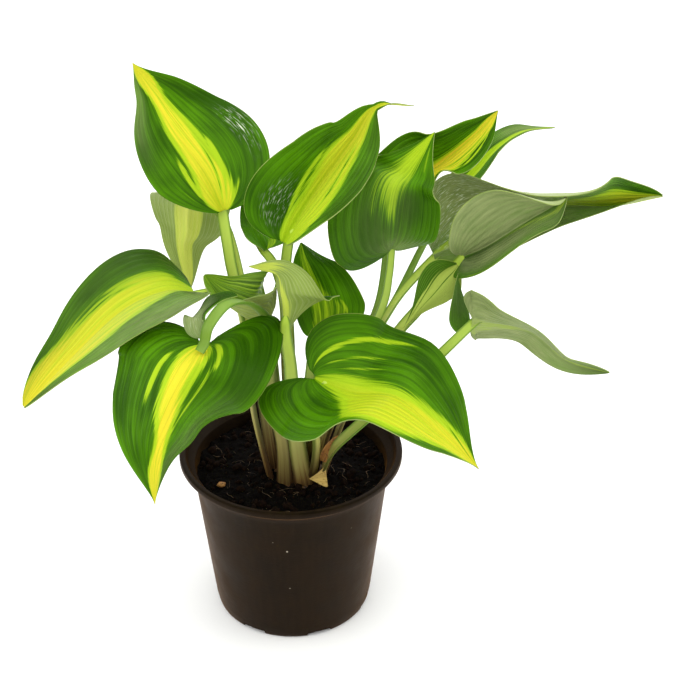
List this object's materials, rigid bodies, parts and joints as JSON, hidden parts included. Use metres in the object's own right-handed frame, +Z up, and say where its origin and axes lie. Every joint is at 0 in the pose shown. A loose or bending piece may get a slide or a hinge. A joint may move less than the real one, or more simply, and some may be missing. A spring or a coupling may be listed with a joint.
{
  "type": "potted hosta plant",
  "caption": "Variegated hosta with heart-shaped green and yellow leaves on long stalks, in a round black-brown nursery pot with a lip and soil.",
  "frame": {"origin": "centre of the pot's base, on the surface it stands on", "axes": "+Z up the pot's axis; +X towards the plant's long right-hand leaves; -Y towards the side with the two broad drooping leaves"},
  "size_m": [0.3532, 0.1683, 0.3205],
  "materials": {
    "pot": "satin",
    "soil": "matte",
    "crown": "matte",
    "leaf": "satin",
    "stalk": "satin",
    "husk": "matte"
  },
  "bodies": {
    "root": {"pot": "pot", "soil": "soil", "crown": "crown", "leaf_01": "leaf", "leaf_02": "leaf", "leaf_03": "leaf", "leaf_04": "leaf", "leaf_05": "leaf", "leaf_06": "leaf", "leaf_07": "leaf", "leaf_08": "leaf", "leaf_09": "leaf", "leaf_10": "leaf", "leaf_11": "leaf", "leaf_12": "leaf", "leaf_13": "leaf", "leaf_14": "leaf", "leaf_15": "leaf", "leaf_16": "leaf", "leaf_17": "leaf", "leaf_18": "leaf", "stalk_01": "stalk", "stalk_02": "stalk", "stalk_03": "stalk", "stalk_04": "stalk", "stalk_05": "stalk", "stalk_06": "stalk", "stalk_07": "stalk", "stalk_08": "stalk", "stalk_09": "stalk", "stalk_10": "stalk", "stalk_11": "stalk", "stalk_12": "stalk", "stalk_13": "stalk", "stalk_14": "stalk", "stalk_15": "stalk", "stalk_17": "stalk", "wing_13": "stalk", "bract_front": "husk", "scale_brown": "husk"}
  },
  "joints": []
}
